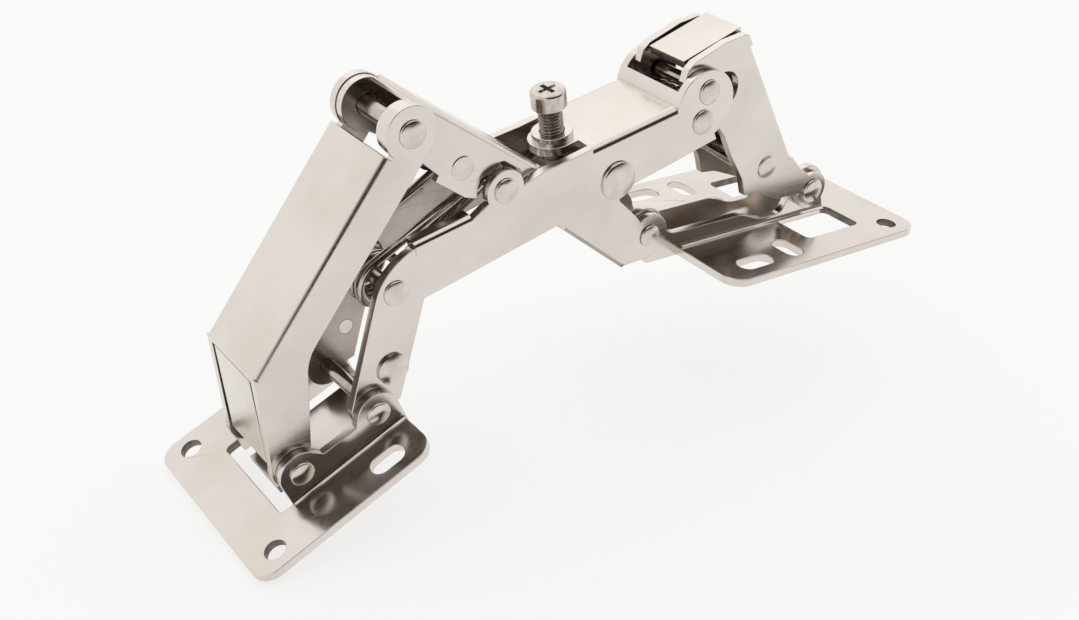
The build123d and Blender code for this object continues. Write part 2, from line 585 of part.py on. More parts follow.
# Springs: one on each side of the middle plane, at the door side and at the link
SPRINGS = (("door_spring_near", DOOR_COIL, ANCHOR, COIL_R, PIN_R + WIRE_R + 0.05, -1),
           ("door_spring_far", DOOR_COIL, ANCHOR, COIL_R, PIN_R + WIRE_R + 0.05, 1),
           ("link_spring_near", LINK_COIL, LINK_TIE, LINK_COIL_R, PIN_R + WIRE_R + 0.05, -1),
           ("link_spring_far", LINK_COIL, LINK_TIE, LINK_COIL_R, PIN_R + WIRE_R + 0.05, 1))
for spring_name, coil_pin, held_pin, coil_r, hold_r, spring_side in SPRINGS:
    spring_path, leg_end, leg_heading = coil_spring(coil_pin, held_pin, coil_r, hold_r, spring_side)
    with BuildPart() as spring:
        with BuildSketch(Plane(origin=leg_end, z_dir=leg_heading)):
            Circle(WIRE_R)
        sweep(path=spring_path)
    spring.part.label = spring_name
    export_step(spring.part, "parts/" + spring_name + ".step")
    print(spring_name, "wire volume over section times length",
          round(spring.part.volume / (pi * WIRE_R ** 2 * spring_path.length), 4), "least gap to itself",
          round(least_gap(spring_path), 2), "mm")
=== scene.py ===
"""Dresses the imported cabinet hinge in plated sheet, polished pins and spring wire, on a plain pale table.

The plates, arms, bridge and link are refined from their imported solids, with rounded stamped edges. The pins,
rivets, stop buttons and adjusting screw are turned here in mesh code, and the springs are welded from their
packed windings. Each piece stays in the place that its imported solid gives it.
"""

from __future__ import annotations

import json
import logging
import math
from dataclasses import dataclass
from enum import Enum

import bmesh
import bpy
from mathutils import Matrix, Vector
from mathutils.bvhtree import BVHTree


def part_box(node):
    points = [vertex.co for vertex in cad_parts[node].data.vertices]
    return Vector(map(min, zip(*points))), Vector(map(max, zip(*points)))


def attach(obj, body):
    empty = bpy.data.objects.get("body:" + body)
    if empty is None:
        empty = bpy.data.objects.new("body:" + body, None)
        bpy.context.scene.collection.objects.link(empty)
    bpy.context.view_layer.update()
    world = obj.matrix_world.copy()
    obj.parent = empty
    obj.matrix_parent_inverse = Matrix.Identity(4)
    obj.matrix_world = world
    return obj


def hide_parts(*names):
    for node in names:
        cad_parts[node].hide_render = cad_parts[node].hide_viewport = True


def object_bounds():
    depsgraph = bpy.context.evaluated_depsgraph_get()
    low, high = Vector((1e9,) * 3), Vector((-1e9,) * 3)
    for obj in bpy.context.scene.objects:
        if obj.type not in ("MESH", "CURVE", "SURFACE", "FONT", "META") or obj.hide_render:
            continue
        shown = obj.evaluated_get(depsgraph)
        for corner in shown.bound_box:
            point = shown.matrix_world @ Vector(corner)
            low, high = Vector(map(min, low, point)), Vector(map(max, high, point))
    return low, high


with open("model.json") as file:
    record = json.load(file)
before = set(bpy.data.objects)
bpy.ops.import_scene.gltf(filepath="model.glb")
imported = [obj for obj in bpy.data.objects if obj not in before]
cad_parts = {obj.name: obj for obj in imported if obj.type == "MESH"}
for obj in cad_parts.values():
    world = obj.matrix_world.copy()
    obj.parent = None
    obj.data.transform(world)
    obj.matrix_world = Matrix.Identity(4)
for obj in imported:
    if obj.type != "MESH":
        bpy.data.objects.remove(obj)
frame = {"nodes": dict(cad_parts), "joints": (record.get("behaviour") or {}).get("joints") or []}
CAD_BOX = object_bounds()

Pair = tuple[float, float]
Triple = tuple[float, float, float]
Outline = list[Pair]

LOG = logging.getLogger("hinge")
MM = 0.001
WHITE = (1.0, 1.0, 1.0, 1.0)

# The photograph's width in pixels, and the camera that was fitted to it
IMAGE_W = 1079
SENSOR_W = 36.0
FOCAL_PX = 1347.87

# How meshes are welded and smoothed: a gap in metres, a share of the rounded edge, and angles in degrees
WELD_GAP = 0.002 * MM
STRAY_SHARE = 0.8
QUAD = 4
FLAT_DEG = 0.4
SOFT_DEG = 50.0
FOLD_SHARP_DEG = 30.0
SCREW_SHARP_DEG = 34.0
ROUND_SHARP_DEG = 40.0

# Which faces of the sheets get painted shade: sizes in millimetres, and how squarely a face looks along a
# direction
SHEET_T = 1.8
INNER_HALF = 7.7
HOLE_REACH = 2.25
WALL_REACH = 0.1
FLANGE_FACING = 0.9
WEB_FACING = 0.3
WALL_FACING = 0.5

# What all finishes share: the noises' detail, and the noise levels between which tint and gloss change
CLOUD_DETAIL = 4.0
CLOUD_ROUGHNESS = 0.55
LINE_DETAIL = 3.0
DENT_DETAIL = 1.0
DENT_SHARE = 0.35
LINE_RELIEF = 0.25
TINT_SPAN = (0.36, 0.62)
GLOSS_SPAN = (0.12, 0.40)

# The shape of a head, as shares of its height and of its radius
HEAD_SIDE = 0.30
HEAD_DOME = 0.54
HEAD_EDGE = (0.985, 0.40)
HEAD_RINGS = (0.95, 0.88, 0.79, 0.69, 0.58, 0.46, 0.34, 0.22, 0.10)
BUTTON_RINGS = (0.97, 0.90, 0.80, 0.68, 0.55, 0.42, 0.28, 0.14, 0.0)


class Body(Enum):
    """The bodies of the hinge that pieces ride on."""

    CABINET = "cabinet_side"
    INNER = "inner_group"
    BRIDGE = "bridge_group"
    OUTER = "outer_group"
    DOOR = "door_side"
    LINK = "link_group"
    SCREW = "screw"


class Slot(Enum):
    """The record's material slots."""

    SHEET = "sheet"
    RIVET = "rivet"
    SCREW = "screw"
    WIRE = "spring_wire"


class Grain(Enum):
    """The direction that a surface's fine lines run in, as the scale of their noise."""

    ALONG = (0.06, 1.0, 1.0)
    ACROSS = (1.0, 0.06, 1.0)
    EVEN = (1.0, 1.0, 1.0)


def add_node(tree: bpy.types.NodeTree, kind: str, values: dict[str | int, object] | None = None,
             **traits: object) -> bpy.types.Node:
    """Adds a node to a tree.

    Args:
        tree: The node tree.
        kind: The node's type.
        values: The values of its sockets that stay unlinked.
        **traits: The node's own settings.

    Returns:
        The new node.
    """
    node = tree.nodes.new(kind)
    for trait, value in traits.items():
        setattr(node, trait, value)
    for socket, value in (values or {}).items():
        node.inputs[socket].default_value = value
    return node


@dataclass(frozen=True)
class Finish:
    """A plated or bare metal finish, made as one procedural material.

    Attributes:
        name: The material's name.
        bright: The colour where the plating is clean.
        dull: The colour of its cloudy patches.
        rough_low: The roughness of the smoothest spots.
        rough_high: The roughness of the dullest spots.
        cloud_mm: The size of the cloudy patches.
        grain_mm: The width of the fine lines.
        grain: The direction of the fine lines.
        relief_mm: How high the fine lines and dents stand.
        slot: The record's material slot; not used.
    """

    name: str
    bright: Triple
    dull: Triple
    rough_low: float
    rough_high: float
    cloud_mm: float
    grain_mm: float
    grain: Grain
    relief_mm: float
    slot: Slot

    def material(self) -> bpy.types.Material:
        """Makes the material, or returns the one made before.

        Returns:
            The material with its nodes.
        """
        made = bpy.data.materials.get(self.name)
        if made:
            return made
        made = bpy.data.materials.new(self.name)
        made.use_nodes = True
        self.lay_nodes(made.node_tree)
        return made

    def lay_nodes(self, tree: bpy.types.NodeTree) -> None:
        """Lays out clouds for the colour, clouds and lines for the gloss, and dents and lines for the relief.

        Args:
            tree: The material's node tree.
        """
        link = tree.links.new
        shader = tree.nodes["Principled BSDF"]
        shader.inputs["Metallic"].default_value = 1.0
        place = add_node(tree, "ShaderNodeTexCoord").outputs["Object"]
        clouds = add_node(tree, "ShaderNodeTexNoise", {
            "Scale": 1.0 / (self.cloud_mm * MM), "Detail": CLOUD_DETAIL, "Roughness": CLOUD_ROUGHNESS})
        link(place, clouds.inputs["Vector"])
        stretch = add_node(tree, "ShaderNodeMapping", {"Scale": self.grain.value})
        link(place, stretch.inputs["Vector"])
        lines = add_node(tree, "ShaderNodeTexNoise", {
            "Scale": 1.0 / (self.grain_mm * MM), "Detail": LINE_DETAIL})
        link(stretch.outputs["Vector"], lines.inputs["Vector"])
        dents = add_node(tree, "ShaderNodeTexNoise", {
            "Scale": 1.0 / (self.cloud_mm * DENT_SHARE * MM), "Detail": DENT_DETAIL})
        link(place, dents.inputs["Vector"])

        tint = add_node(tree, "ShaderNodeValToRGB")
        for stop, level, colour in zip(tint.color_ramp.elements, TINT_SPAN, (self.dull, self.bright)):
            stop.position = level
            stop.color = (*colour, 1.0)
        link(clouds.outputs["Fac"], tint.inputs["Fac"])
        link(tint.outputs["Color"], shader.inputs["Base Color"])

        both = add_node(tree, "ShaderNodeMath", operation="MULTIPLY")
        link(clouds.outputs["Fac"], both.inputs[0])
        link(lines.outputs["Fac"], both.inputs[1])
        gloss = add_node(tree, "ShaderNodeMapRange", {
            "From Min": GLOSS_SPAN[0], "From Max": GLOSS_SPAN[1],
            "To Min": self.rough_high, "To Max": self.rough_low})
        link(both.outputs["Value"], gloss.inputs["Value"])
        link(gloss.outputs["Result"], shader.inputs["Roughness"])

        height = add_node(tree, "ShaderNodeMath", {1: LINE_RELIEF}, operation="MULTIPLY_ADD")
        link(lines.outputs["Fac"], height.inputs[0])
        link(dents.outputs["Fac"], height.inputs[2])
        bump = add_node(tree, "ShaderNodeBump", {"Strength": 1.0, "Distance": self.relief_mm * MM})
        link(height.outputs["Value"], bump.inputs["Height"])
        link(bump.outputs["Normal"], shader.inputs["Normal"])


NICKEL_SHEET = Finish("nickel_sheet", (0.76, 0.71, 0.66), (0.71, 0.655, 0.60), 0.16, 0.24, 16.0, 0.5,
                      Grain.ALONG, 0.012, Slot.SHEET)
# Painted shade: a darker nickel on the inward faces of the channels, where shade falls between the flanges
NICKEL_PAINTED_SHADE = Finish("nickel_painted_shade", (0.46, 0.41, 0.37), (0.34, 0.30, 0.27), 0.22, 0.34, 12.0, 0.5,
                       Grain.ALONG, 0.012, Slot.SHEET)
# Painted shade: a near-black finish on the walls of the plates' holes and windows, where shade falls
HOLE_PAINTED_SHADE = Finish("hole_painted_shade", (0.22, 0.19, 0.17), (0.14, 0.12, 0.11), 0.30, 0.45, 2.0, 0.3,
                   Grain.EVEN, 0.012, Slot.SHEET)
NICKEL_RIVET = Finish("nickel_rivet", (0.73, 0.68, 0.62), (0.64, 0.59, 0.54), 0.14, 0.24, 3.6, 0.3,
                      Grain.EVEN, 0.012, Slot.RIVET)
PIN_STEEL = Finish("pin_steel", (0.56, 0.51, 0.46), (0.36, 0.31, 0.28), 0.12, 0.22, 3.5, 0.25,
                   Grain.ACROSS, 0.008, Slot.RIVET)
SCREW_STEEL = Finish("screw_steel", (0.68, 0.63, 0.58), (0.52, 0.47, 0.43), 0.14, 0.26, 2.0, 0.2,
                     Grain.EVEN, 0.01, Slot.SCREW)
THREAD_STEEL = Finish("thread_steel", (0.34, 0.30, 0.27), (0.22, 0.19, 0.17), 0.20, 0.34, 1.2, 0.2,
                      Grain.EVEN, 0.01, Slot.SCREW)
SPRING_STEEL = Finish("spring_steel", (0.60, 0.54, 0.49), (0.44, 0.39, 0.35), 0.12, 0.22, 3.0, 0.2,
                      Grain.ALONG, 0.008, Slot.WIRE)


def into_mesh(work: bmesh.types.BMesh, name: str) -> bpy.types.Mesh:
    """Writes a worked mesh out and frees it.

    Args:
        work: The worked mesh.
        name: The new mesh's name.

    Returns:
        The new mesh.
    """
    mesh = bpy.data.meshes.new(name)
    work.to_mesh(mesh)
    work.free()
    return mesh


def link_object(name: str, data: bpy.types.ID) -> bpy.types.Object:
    """Makes an object and links it into the scene.

    Args:
        name: The object's name.
        data: Its mesh, camera or lamp.

    Returns:
        The new object.
    """
    made = bpy.data.objects.new(name, data)
    bpy.context.scene.collection.objects.link(made)
    return made


def place_piece(mesh: bpy.types.Mesh, name: str, body: Body, finish: Finish) -> bpy.types.Object:
    """Links a finished mesh into the scene as a piece that rides on a body.

    Args:
        mesh: The piece's mesh, in the shared frame.
        name: The piece's name.
        body: The body that carries it.
        finish: Its finish.

    Returns:
        The new object.
    """
    piece = link_object(name, mesh)
    mesh.materials.append(finish.material())
    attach(piece, body.value)
    LOG.info("%s: %d faces on %s", name, len(mesh.polygons), body.value)
    return piece


def shade_by_angle(piece: bpy.types.Object, degrees: float) -> None:
    """Shades a piece smooth, with sharp edges above an angle.

    Args:
        piece: The mesh object.
        degrees: The angle above which an edge stays sharp.
    """
    for face in piece.data.polygons:
        face.use_smooth = True
    piece.data.set_sharp_from_angle(angle=math.radians(degrees))


def skin_rings(work: bmesh.types.BMesh, rings: list[list[bmesh.types.BMVert]]) -> None:
    """Joins rings of equal length with faces, one to the next, and caps both ends.

    Args:
        work: The mesh that holds the rings.
        rings: The rings, from one end to the other.
    """
    count = len(rings[0])
    for first, second in zip(rings, rings[1:]):
        for step in range(count):
            after = (step + 1) % count
            work.faces.new((first[step], first[after], second[after], second[step]))
    work.faces.new(rings[0][::-1])
    work.faces.new(rings[-1])


def turned(outlines: list[Outline], facets: int) -> bmesh.types.BMesh:
    """Turns outlines about the upright axis, each into one closed part.

    Args:
        outlines: Points as (radius, height), in metres, from one end of the axis to the other.
        facets: The facets round the axis.

    Returns:
        The turned mesh.
    """
    work = bmesh.new()
    for outline in outlines:
        rings = []
        for radius, height in outline:
            turns = [math.tau * step / facets for step in range(facets if radius > WELD_GAP else 1)]
            rings.append([work.verts.new((radius * math.cos(turn), radius * math.sin(turn), height))
                          for turn in turns])
        for first, second in zip(rings, rings[1:]):
            for step in range(facets):
                after = (step + 1) % facets
                corners = (first[step % len(first)], first[after % len(first)],
                           second[after % len(second)], second[step % len(second)])
                unique = list(dict.fromkeys(corners))
                if len(unique) > 2:
                    work.faces.new(unique)
    bmesh.ops.recalc_face_normals(work, faces=work.faces)
    return work


def turned_piece(node: str, body: Body, outlines: list[Outline], facets: int) -> bpy.types.Object:
    """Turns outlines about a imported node's centre line along Y, and hides the node.

    Args:
        node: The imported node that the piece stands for.
        body: The body that carries it.
        outlines: Points as (radius, distance from the node's middle), in metres.
        facets: The facets round the axis.

    Returns:
        The new piece.
    """
    low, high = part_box(node)
    centre = (low + high) / 2
    mesh = into_mesh(turned(outlines, facets), node + "_turned")
    mesh.transform(Matrix(((1, 0, 0, centre.x), (0, 0, 1, centre.y), (0, -1, 0, centre.z), (0, 0, 0, 1))))
    piece = place_piece(mesh, node + "_turned", body, NICKEL_RIVET)
    shade_by_angle(piece, ROUND_SHARP_DEG)
    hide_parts(node)
    return piece


def flat_islands(faces: list[bmesh.types.BMFace]) -> list[list[bmesh.types.BMFace]]:
    """Groups touching faces that lie in one plane.

    Args:
        faces: The faces to group.

    Returns:
        The groups.
    """
    left = set(faces)
    limit = math.cos(math.radians(FLAT_DEG))
    islands = []
    for start in faces:
        if start not in left:
            continue
        left.remove(start)
        island = [start]
        for face in island:
            for edge in face.edges:
                for other in edge.link_faces:
                    if other in left and other.normal.dot(start.normal) > limit:
                        left.remove(other)
                        island.append(other)
        islands.append(island)
    return islands


def soft_normals(work: bmesh.types.BMesh) -> list[Vector]:
    """Finds shading normals that keep wide flats flat and let only the narrow faces beside them turn.

    Args:
        work: The mesh, with its face normals up to date.

    Returns:
        One normal for each corner of each face, in order.
    """
    area = {}
    for island in flat_islands(list(work.faces)):
        total = sum(face.calc_area() for face in island)
        for face in island:
            area[face] = total
    limit = math.cos(math.radians(SOFT_DEG))
    normals = []
    for face in work.faces:
        for loop in face.loops:
            near = [other for other in loop.vert.link_faces if other.normal.dot(face.normal) > limit]
            normals.append(sum((other.normal * area[other] for other in near), Vector()).normalized())
    return normals


@dataclass
class StampedSheet:
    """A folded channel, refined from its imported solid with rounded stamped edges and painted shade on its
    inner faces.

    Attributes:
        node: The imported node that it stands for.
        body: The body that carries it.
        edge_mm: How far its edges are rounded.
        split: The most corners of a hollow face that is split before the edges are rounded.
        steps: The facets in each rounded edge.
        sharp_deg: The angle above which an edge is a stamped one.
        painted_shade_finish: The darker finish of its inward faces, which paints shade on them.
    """

    node: str
    body: Body
    edge_mm: float = 0.15
    split: int = 0
    steps: int = 2
    sharp_deg: float = 32.0
    # Inward faces take a darker nickel: painted shade
    painted_shade_finish: Finish = NICKEL_PAINTED_SHADE

    def refined_mesh(self) -> bpy.types.Mesh:
        """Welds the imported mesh, clears its flat faces and rounds its edges.

        Returns:
            The refined mesh.
        """
        work = bmesh.new()
        work.from_mesh(frame["nodes"][self.node].data)
        bmesh.ops.remove_doubles(work, verts=work.verts, dist=WELD_GAP)
        packed = BVHTree.FromBMesh(work)
        bmesh.ops.dissolve_limit(work, angle_limit=math.radians(FLAT_DEG), verts=work.verts, edges=work.edges)
        hollow = [face for face in work.faces if QUAD < len(face.verts) <= self.split]
        bmesh.ops.connect_verts_concave(work, faces=hollow)
        bmesh.ops.recalc_face_normals(work, faces=work.faces)
        self.round_edges(work, packed)
        work.normal_update()
        normals = soft_normals(work)
        mesh = into_mesh(work, self.node + "_shell")
        for face in mesh.polygons:
            face.use_smooth = True
        mesh.normals_split_custom_set(normals)
        return mesh

    def round_edges(self, work: bmesh.types.BMesh, packed: BVHTree) -> None:
        """Rounds the outward stamped edges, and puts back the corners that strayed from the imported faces.

        Args:
            work: The mesh with its flat faces cleared.
            packed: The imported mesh's faces.
        """
        limit = math.radians(self.sharp_deg)
        sharp = [edge for edge in work.edges
                 if edge.is_manifold and edge.is_convex and edge.calc_face_angle(0.0) > limit]
        bmesh.ops.bevel(work, geom=sharp, offset=self.edge_mm * MM, offset_type="OFFSET", segments=self.steps,
                        profile=0.5, affect="EDGES", clamp_overlap=False, loop_slide=True)
        for vert in work.verts:
            nearest = packed.find_nearest(vert.co)[0]
            if (nearest - vert.co).length > STRAY_SHARE * self.edge_mm * MM:
                vert.co = nearest

    def is_painted_shade(self, face: bpy.types.MeshPolygon) -> bool:
        """Says whether a face of the channel looks inward and so gets painted shade.

        Args:
            face: A face of the refined mesh.

        Returns:
            True on the inner faces of the flanges and of the web.
        """
        across = face.normal.y * face.center.y < 0 and abs(face.normal.y) > FLANGE_FACING
        return across or (face.normal.z < -WEB_FACING and abs(face.center.y) < INNER_HALF * MM)

    def build(self) -> bpy.types.Object:
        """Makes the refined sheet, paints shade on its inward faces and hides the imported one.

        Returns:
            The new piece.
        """
        mesh = self.refined_mesh()
        piece = place_piece(mesh, self.node + "_shell", self.body, NICKEL_SHEET)
        # Painted shade: inward faces get the darker second material
        mesh.materials.append(self.painted_shade_finish.material())
        for face in mesh.polygons:
            face.material_index = int(self.is_painted_shade(face))
        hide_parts(self.node)
        return piece


@dataclass
class PunchedPlate(StampedSheet):
    """A plate with round holes and windows punched through it, whose walls carry painted shade.

    Attributes:
        foot_mm: The middle of the plate's own (u, v) places, as (X, Z) on its top face.
        tilt_deg: How far the plate is tilted.
        holes_mm: The middles of its round holes, as (u, v).
        windows_mm: Its windows, as the least and most u, and the least and most distance from the middle.
    """

    foot_mm: Pair = (0.0, SHEET_T)
    tilt_deg: float = 0.0
    holes_mm: tuple[Pair, ...] = ()
    windows_mm: tuple[tuple[float, float, float, float], ...] = ()
    # Walls of holes and windows take a near-black finish: painted shade
    painted_shade_finish: Finish = HOLE_PAINTED_SHADE

    def is_painted_shade(self, face: bpy.types.MeshPolygon) -> bool:
        """Says whether a face is on the wall of a round hole or a window, where shade is painted.

        Args:
            face: A face of the refined mesh.

        Returns:
            True on such a wall.
        """
        tilt = math.radians(self.tilt_deg)
        along = Vector((math.cos(tilt), 0, math.sin(tilt)))
        upward = Vector((-math.sin(tilt), 0, math.cos(tilt)))
        away = face.center / MM - Vector((self.foot_mm[0], 0, self.foot_mm[1]))
        u, v, height = away.dot(along), away.y, away.dot(upward)
        if height < -SHEET_T or height > 0.0 or abs(face.normal.dot(upward)) > WALL_FACING:
            return False
        if any(math.dist((u, v), hole) < HOLE_REACH for hole in self.holes_mm):
            return True
        return any(u_low - WALL_REACH < u < u_high + WALL_REACH
                   and v_low - WALL_REACH < abs(v) < v_high + WALL_REACH
                   for u_low, u_high, v_low, v_high in self.windows_mm)


@dataclass
class EdgeFold:
    """A narrow folded strip along a straight edge, the same on the near and the far side.

    Attributes:
        name: The piece's name.
        body: The body that carries it.
        start_mm: Where the edge starts, as (X, Z).
        end_mm: Where it ends.
        steps: The facets in the fold.
    """

    name: str
    body: Body
    start_mm: Pair
    end_mm: Pair
    steps: int = 6

    def section(self) -> Outline:
        """The strip's section, as (distance from the middle, height above the edge), in millimetres."""
        raise NotImplementedError

    def quarter(self) -> list[float]:
        """The angles of a quarter turn's facets, in radians."""
        return [math.pi / 2 * step / self.steps for step in range(self.steps + 1)]

    def build(self) -> bpy.types.Object:
        """Draws the strip on both sides.

        Returns:
            The new piece.
        """
        start = Vector((self.start_mm[0], 0, self.start_mm[1]))
        end = Vector((self.end_mm[0], 0, self.end_mm[1]))
        up = Vector((start.z - end.z, 0, end.x - start.x)).normalized()
        work = bmesh.new()
        for side in (-1, 1):
            skin_rings(work, [[work.verts.new((base + Vector((0, side * out, 0)) + up * height) * MM)
                               for out, height in self.section()] for base in (start, end)])
        bmesh.ops.recalc_face_normals(work, faces=work.faces)
        piece = place_piece(into_mesh(work, self.name), self.name, self.body, NICKEL_SHEET)
        shade_by_angle(piece, FOLD_SHARP_DEG)
        return piece


@dataclass
class FootBend(EdgeFold):
    """The small hollow bend along the foot of a plate's ears, on their outer sides.

    Attributes:
        ear_mm: How far the ears' outer faces stand from the middle.
        radius_mm: The bend's radius.
        sunk_mm: How far it reaches into the ear and the plate.
    """

    ear_mm: float = 0.0
    radius_mm: float = 0.9
    sunk_mm: float = 0.05

    def section(self) -> Outline:
        """The bend's section, as (distance from the middle, height above the edge), in millimetres.

        Returns:
            The section's corners, in order.
        """
        ear, radius, sunk = self.ear_mm, self.radius_mm, self.sunk_mm
        hollow = [(ear + radius * (1 - math.sin(turn)), radius * (1 - math.cos(turn)))
                  for turn in self.quarter()]
        return [(ear - sunk, -sunk), (ear + radius, -sunk), *hollow, (ear - sunk, radius)]


@dataclass
class FoldedLips(EdgeFold):
    """The short lips folded inward along the upper edges of the bridge's legs.

    Attributes:
        rise_mm: How far a lip stands above the edge.
        outer_mm: How far its outer face stands from the middle.
        inner_mm: How far its inner edge stands from the middle.
        bend_mm: The radius of its fold.
    """

    rise_mm: float = 1.1
    outer_mm: float = 9.8
    inner_mm: float = 6.9
    bend_mm: float = 1.3

    def section(self) -> Outline:
        """The lip's section, as (distance from the middle, height above the edge), in millimetres.

        Returns:
            The section's corners, in order.
        """
        rise, outer, inner, bend = self.rise_mm, self.outer_mm, self.inner_mm, self.bend_mm
        low = rise - 2 * bend
        fold = [(outer - bend * (1 - math.cos(turn)), rise - bend * (1 - math.sin(turn)))
                for turn in self.quarter()]
        return [(inner, rise - bend), (outer - bend, low), (outer, low), *fold, (inner, rise)]


@dataclass
class Pin:
    """A pivot or cross pin with low domed heads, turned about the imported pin's centre line.

    Attributes:
        node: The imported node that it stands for.
        body: The body that carries it.
        shank_mm: The shank's radius.
        head_mm: The heads' radius.
        rise_mm: How high each head stands.
        facets: The facets round it.
    """

    node: str
    body: Body
    shank_mm: float
    head_mm: float
    rise_mm: float
    facets: int = 64

    def crown(self, half: float) -> Outline:
        """Draws a head's outline, from the shank's corner out to the middle of its top.

        Args:
            half: The distance from the pin's middle to the top of a head.

        Returns:
            Points as (radius, distance from the middle), in metres.
        """
        head = self.head_mm * MM
        rise = self.rise_mm * MM
        seat = half - rise
        dome = [(head * share, half - HEAD_DOME * rise * share * share) for share in HEAD_RINGS]
        return [(self.shank_mm * MM, seat), (head, seat), (head, seat + HEAD_SIDE * rise),
                (head * HEAD_EDGE[0], seat + HEAD_EDGE[1] * rise), *dome, (0.0, half)]

    def outlines(self, half: float) -> list[Outline]:
        """Draws what is turned, from end to end.

        Args:
            half: The distance from the pin's middle to the top of a head.

        Returns:
            One outline for each separate part, in metres.
        """
        far = self.crown(half)
        return [[(radius, -y) for radius, y in reversed(far)] + far]

    def build(self) -> bpy.types.Object:
        """Turns the pin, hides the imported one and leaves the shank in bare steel.

        Returns:
            The new piece.
        """
        low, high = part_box(self.node)
        middle = (low.y + high.y) / 2
        half = (high.y - low.y) / 2
        piece = turned_piece(self.node, self.body, self.outlines(half), self.facets)
        piece.data.materials.append(PIN_STEEL.material())
        reach = half - self.rise_mm * MM - WELD_GAP
        for face in piece.data.polygons:
            face.material_index = int(abs(face.center.y - middle) < reach)
        return piece


@dataclass
class RivetPair(Pin):
    """Two short rivets on one line, one in each ear, with a head on the outer side only.

    Attributes:
        inner_mm: How far their inner ends stand from the middle.
    """

    inner_mm: float = 9.7

    def outlines(self, half: float) -> list[Outline]:
        """Draws both rivets.

        Args:
            half: The distance from the middle to the top of a head.

        Returns:
            The near rivet's outline and the far rivet's, in metres.
        """
        inner = self.inner_mm * MM
        far = [(0.0, inner), (self.shank_mm * MM, inner), *self.crown(half)]
        return [[(radius, -y) for radius, y in far], far]


@dataclass
class StopButtons:
    """The two stop buttons on the bridge's lower legs, each with a softly domed head.

    Attributes:
        node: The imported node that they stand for.
        body: The body that carries them.
        shank_mm: The shank's radius.
        head_mm: The head's radius.
        side_mm: The height of the head's upright side.
        dome_mm: How far the head bulges above it.
        bevel_mm: The size of the bevel under the head.
        sheet_mm: The inner and outer face of the sheet that the shank passes through.
        facets: The facets round each.
    """

    node: str = "stop_buttons"
    body: Body = Body.BRIDGE
    shank_mm: float = 1.5
    head_mm: float = 3.15
    side_mm: float = 0.6
    dome_mm: float = 0.65
    bevel_mm: float = 0.12
    sheet_mm: Pair = (7.8, 9.6)
    facets: int = 64

    def build(self) -> bpy.types.Object:
        """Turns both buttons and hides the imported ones.

        Returns:
            The new piece.
        """
        inner, outer = self.sheet_mm
        head, shank, bevel = self.head_mm, self.shank_mm, self.bevel_mm
        foot = outer + self.side_mm
        side = [(0.0, inner), (shank, inner), (shank, outer), (head - bevel, outer), (head, outer + bevel),
                (head, foot)]
        side += [(head * share, foot + self.dome_mm * (1 - share * share)) for share in BUTTON_RINGS]
        pair = [[(radius * MM, sign * y * MM) for radius, y in side] for sign in (-1, 1)]
        return turned_piece(self.node, self.body, pair, self.facets)


